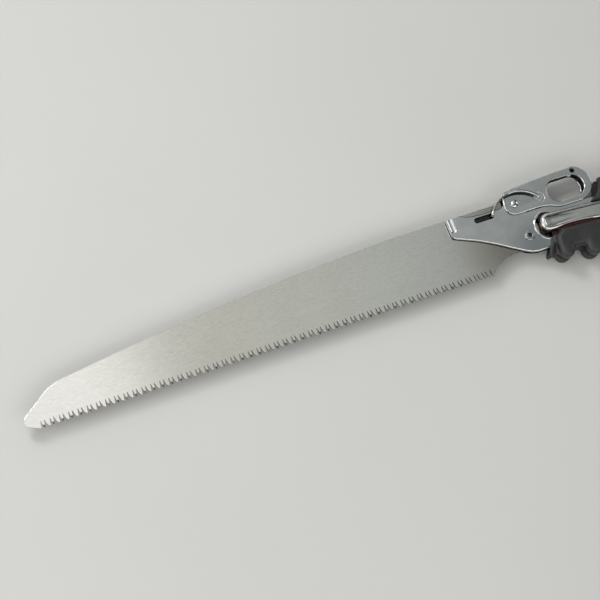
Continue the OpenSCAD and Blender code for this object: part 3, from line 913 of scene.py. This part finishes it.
def is_in_socket(face):
    """Inside the bolt's socket."""
    place = centre_of(face)
    return distance(place, (0, 0)) < socket_reach and plate_face < place.z < socket_top


bolt = merged_copy("pivot_bolt")
# Painted highlight: the bevel's faces take the brighter chrome.
finish_faces(round_over(bolt, bolt_edge, least=bolt_angle), third)
bolt.normal_update()
# Painted shade: the socket is painted nearly black.
finish_faces([face for face in bolt.faces if is_in_socket(face)], second)
as_piece(bolt, "pivot_socket_bolt", ["pivot_bolt"], plated_sheet, painted_shade_steel, chrome_and_painted_highlight)

# %% [markdown]
# The toggle wire is one rod, bent over at both ends: one end turns in the lever's eyelet and the other slides
# in the fork's slot. A curve with a round bevel could draw it, but a ring spun about the arc's centre makes
# the bow exactly, two quarter spins make the bends, and a straight extrusion the legs, which is how a wire
# bender works too.

# %% Wire sizes
wire_radius = 1.4
wire_sides = 20
wire_height = 8.5
bow_steps = 48
bend_steps = 8
bow_centre = Vector((-1.6, 16.6))
bow_radius = 34.2
bend_radius = 2.2
quarter = math.pi / 2
bend_slip = bend_radius / bow_radius
bow_start = math.radians(35) + bend_slip
bow_stop = math.radians(151) - bend_slip
eye_leg_end = 5.1
hook_leg_end = 2.9
leg_height = wire_height - bend_radius
bent_length = bow_radius * (bow_stop - bow_start) + 2 * quarter * bend_radius
print("a wire is", round(bent_length + 2 * leg_height - eye_leg_end - hook_leg_end, 1), "mm long")


# %% Wires
def bend_down(wire, edges, angle, forward, side, leg_end):
    """Turns the wire's open end through a quarter circle toward the blade and adds its straight leg."""
    outward = Vector((math.cos(angle), math.sin(angle), 0.0))
    end = on_saw(*(bow_centre + bow_radius * outward.xy), side * wire_height)
    bend_centre = end - side * bend_radius * mm * up
    last = turned(wire, edges, bend_centre, quarter, bend_steps, axis=-forward * side * outward)
    lengthened(wire, last, -side * (leg_height - leg_end) * mm * up)


def bent_wire(side):
    """The whole wire; side is 1 on the photographed face and -1 on the other."""
    height = side * wire_height
    wire = bmesh.new()
    first = ring_across(wire, bow_centre, bow_radius, bow_start, height, wire_radius, wire_radius, wire_sides)
    last = turned(wire, first, on_saw(*bow_centre, height), bow_stop - bow_start, bow_steps)
    bend_down(wire, last, bow_stop, 1, side, hook_leg_end)
    bend_down(wire, first, bow_start, -1, side, eye_leg_end)
    bmesh.ops.holes_fill(wire, edges=[edge for edge in wire.edges if edge.is_boundary], sides=0)
    bmesh.ops.recalc_face_normals(wire, faces=wire.faces)
    return wire


as_piece(bent_wire(1), "left_bent_wire", ["left_toggle_wire"], spring_wire, crease=60)
as_piece(bent_wire(-1), "right_bent_wire", ["right_toggle_wire"], spring_wire, crease=60)

# %% [markdown]
# The spine is a bright bar let into the grip. A copy of its solid could be beveled like the rest, but the
# panel and the thumb dish are made here alone and need vertices of their own. So it starts as a box in the
# handle's axes: the two front corners are rounded first, then the whole upper rim, and the flat between the
# rims is set in a little. Cuts across it give the vertices that the finger arch lifts along the lower edge,
# and more cuts those that the thumb dish behind the nose presses down. The panel's upper wall is painted nearly
# black as painted shade, and the lower edge behind the nose is painted darker as painted shade that takes its
# highlight away.

# %% Spine sizes
spine_front = 15.0
spine_end = 573.0
spine_low = -1.8
spine_high = 18.8
spine_middle = (spine_low + spine_high) / 2
spine_foot = 4.5
spine_under = 6.0
spine_top = 11.0
nose_radius = 9.3
nose_steps = 14
nose_back = 32.0
rim_radius = 4.0
rim_steps = 8
arch_middle = 55.0
arch_radius = 140.0
arch_rise = 2.0
dish_start = 27.0
dish_radius = 22.0
dish_depth = 0.9
dish_runout = 0.028
panel_wall = 1.0
panel_depth = 0.4
lower_shade_start = 31.0
arch_cuts = (nose_back, 80.0, 1.5)
rear_cuts = (85.0, 565.0, 20.0)
thumb_cuts_along = (19.5, 31.0, 0.75)
thumb_cuts_across = (2.5, 14.5, 0.75)
wall_lean = (-0.75, -0.2)
lower_lean = -0.5
underside_lean = -0.9
upright_edge = 1.0
near = 0.01
along = Vector((1.0, 0.0, 0.0))
across = Vector((0.0, 1.0, 0.0))
handle_axes = Matrix.Translation(pivot) @ Matrix.Rotation(handle_tilt, 4, "Z") @ Matrix.Scale(mm, 4)
print("spine is", spine_end - spine_front, "mm long and", round(spine_high - spine_low, 1), "mm wide")


# %% Spine forms
def cut_across(shape, axis, start, stop, step):
    """Adds an edge loop at evenly spaced places along an axis."""
    for count in range(int((stop - start) / step) + 1):
        bmesh.ops.bisect_plane(shape, geom=shape.verts[:] + shape.edges[:] + shape.faces[:],
                               plane_co=axis * (start + step * count), plane_no=axis)


def arch_lift(x):
    """How far the finger arch lifts the spine's lower edge at x."""
    if abs(x - arch_middle) > arch_radius:
        return 0.0
    sag = arch_radius - math.sqrt(arch_radius ** 2 - (x - arch_middle) ** 2)
    return max(0.0, arch_rise - sag)


def dish_drop(x, y):
    """How deep the thumb dish is at a place on the spine's face."""
    runs_out = (x - dish_start) * dish_runout if x > dish_start else (dish_start - x) ** 2 / (2 * dish_radius)
    curves_up = (y - spine_middle) ** 2 / (2 * dish_radius)
    return max(0.0, dish_depth - runs_out - curves_up)


def is_panel_wall(face):
    """On the panel's upper wall, which is painted nearly black as shade."""
    return wall_lean[0] < face.normal.y < wall_lean[1] and face.calc_center_median().y > spine_middle


def is_shaded_lower_edge(face):
    """On the lower edge behind the nose, which is painted darker as shade."""
    return face.normal.y < lower_lean and face.calc_center_median().x > lower_shade_start


# %% Spine steps
def round_bar():
    """A box with a round nose and a round upper rim, whose face is set in as a panel."""
    bar = bmesh.new()
    size = Vector((spine_end - spine_front, spine_high - spine_low, spine_top - spine_under))
    middle = Vector((spine_end + spine_front, spine_high + spine_low, spine_top + spine_under)) / 2
    bmesh.ops.create_cube(bar, size=1.0, matrix=Matrix.Translation(middle) @ Matrix.Diagonal((*size, 1.0)))
    corners = [edge for edge in bar.edges
               if all(abs(vert.co.x - spine_front) < near for vert in edge.verts)
               and abs(edge.verts[0].co.z - edge.verts[1].co.z) > upright_edge]
    bevel(bar, corners, nose_radius, nose_steps)
    rim = [edge for edge in bar.edges if all(abs(vert.co.z - spine_top) < near for vert in edge.verts)
           and not all(abs(vert.co.x - spine_end) < near for vert in edge.verts)]
    bevel(bar, rim, rim_radius, rim_steps)
    panel = max(bar.faces, key=lambda face: face.normal.z * face.calc_area())
    bmesh.ops.inset_region(bar, faces=[panel], thickness=panel_wall, depth=-panel_depth, use_even_offset=True)
    return bar


def grow_foot(bar):
    """Lowers the nose's underside onto the fork plate."""
    foot = [face for face in bar.faces
            if face.normal.z < underside_lean and face.calc_center_median().x < nose_back]
    grown = bmesh.ops.extrude_face_region(bar, geom=foot)["geom"]
    bmesh.ops.translate(bar, verts=only(bmesh.types.BMVert, grown), vec=(spine_foot - spine_under) * up)
    bmesh.ops.delete(bar, geom=foot, context="FACES_ONLY")


def press_forms(bar):
    """Moves the vertices into the finger arch and the thumb dish."""
    for vert in bar.verts:
        x, y, z = vert.co
        middle_share = (y - spine_low) / ((spine_high - spine_low) / 2)
        vert.co.y += arch_lift(x) * max(0.0, 1.0 - middle_share)
        if abs(z - spine_top + panel_depth) < near:
            vert.co.z -= dish_drop(x, y)


# %% Spines
def spine_bar():
    """The spine in the handle's axes, in millimetres, on the photographed side."""
    bar = round_bar()
    cut_across(bar, along, *arch_cuts)
    cut_across(bar, along, *rear_cuts)
    cut_across(bar, along, *thumb_cuts_along)
    cut_across(bar, across, *thumb_cuts_across)
    grow_foot(bar)
    press_forms(bar)
    bmesh.ops.recalc_face_normals(bar, faces=bar.faces)
    bar.normal_update()
    # Painted shade: the lower edge behind the nose is painted darker to take away its highlight.
    finish_faces([face for face in bar.faces if is_shaded_lower_edge(face)], third)
    # Painted shade: the panel's upper wall is painted nearly black for the shade in the crease.
    finish_faces([face for face in bar.faces if is_panel_wall(face)], second)
    return bar


far_side = Matrix.Scale(-1.0, 4, up)
for side, turn in (("left", Matrix.Identity(4)), ("right", far_side)):
    bar = spine_bar()
    bmesh.ops.transform(bar, matrix=handle_axes @ turn, verts=bar.verts)
    bmesh.ops.recalc_face_normals(bar, faces=bar.faces)
    as_piece(bar, side + "_bright_spine", [side + "_spine"], spine_satin, painted_shade_steel, painted_shade_edge, crease=16)

# %% [markdown]
# The rubber is moulded, so every edge is soft and runs into the next. Bevels would stop at each edge, so a
# voxel remesh turns the solid into one even skin, and smoothing then softens it everywhere at once. The
# solid's finger lobes are part of the lower moulding, so the two are remeshed together.

# %% Rubber
skin_voxel = 0.9
skin_softness = 0.5
skin_passes = 6
never_sharp = 181


def moulded_skin(nodes):
    """A soft edged copy of CAD nodes: remeshed to even quads and smoothed."""
    mesh = bpy.data.meshes.new("skin")
    shape = merged_copy(*nodes)
    shape.to_mesh(mesh)
    shape.free()
    holder = bpy.data.objects.new("skin", mesh)
    bpy.context.scene.collection.objects.link(holder)
    remesh = holder.modifiers.new("even", "REMESH")
    remesh.mode = "VOXEL"
    remesh.voxel_size = skin_voxel * mm
    soften = holder.modifiers.new("soften", "SMOOTH")
    soften.factor = skin_softness
    soften.iterations = skin_passes
    ready = holder.evaluated_get(bpy.context.evaluated_depsgraph_get())
    skin = bmesh.new()
    skin.from_mesh(ready.to_mesh())
    ready.to_mesh_clear()
    bpy.data.objects.remove(holder)
    bpy.data.meshes.remove(mesh)
    return skin


for side in ("left", "right"):
    for name, nodes in (("_lower_rubber", (side + "_lower_grip", side + "_finger_lobes")),
                        ("_upper_rubber", (side + "_upper_grip",))):
        as_piece(moulded_skin(nodes), side + name, nodes, grip_rubber, crease=never_sharp)

# %% [markdown]
# The red core shows as a thin line beside the spine, a black spacer closes the back of the blade's slot, and
# the end cap closes the handle. They are plain mouldings, so their edges are only broken, as the hardware's.

# %% Core, spacer and cap
break_edges("left_grip_core", "left_red_core", 0.3, red_nylon)
break_edges("right_grip_core", "right_red_core", 0.3, red_nylon)
break_edges("back_spacer", "slot_back", 0.4, black_nylon)
break_edges("end_cap", "handle_end_cap", 0.4, black_nylon)

# %% [markdown]
# The rivets are buried under the spine, so they stay as they are and only take their finish.

# %% Buried rivets
rivets = frame["nodes"]["spine_rivets"]
rivets.data.materials.clear()
rivets.data.materials.append(zinc)
print("rivets have", len(rivets.data.polygons), "faces")
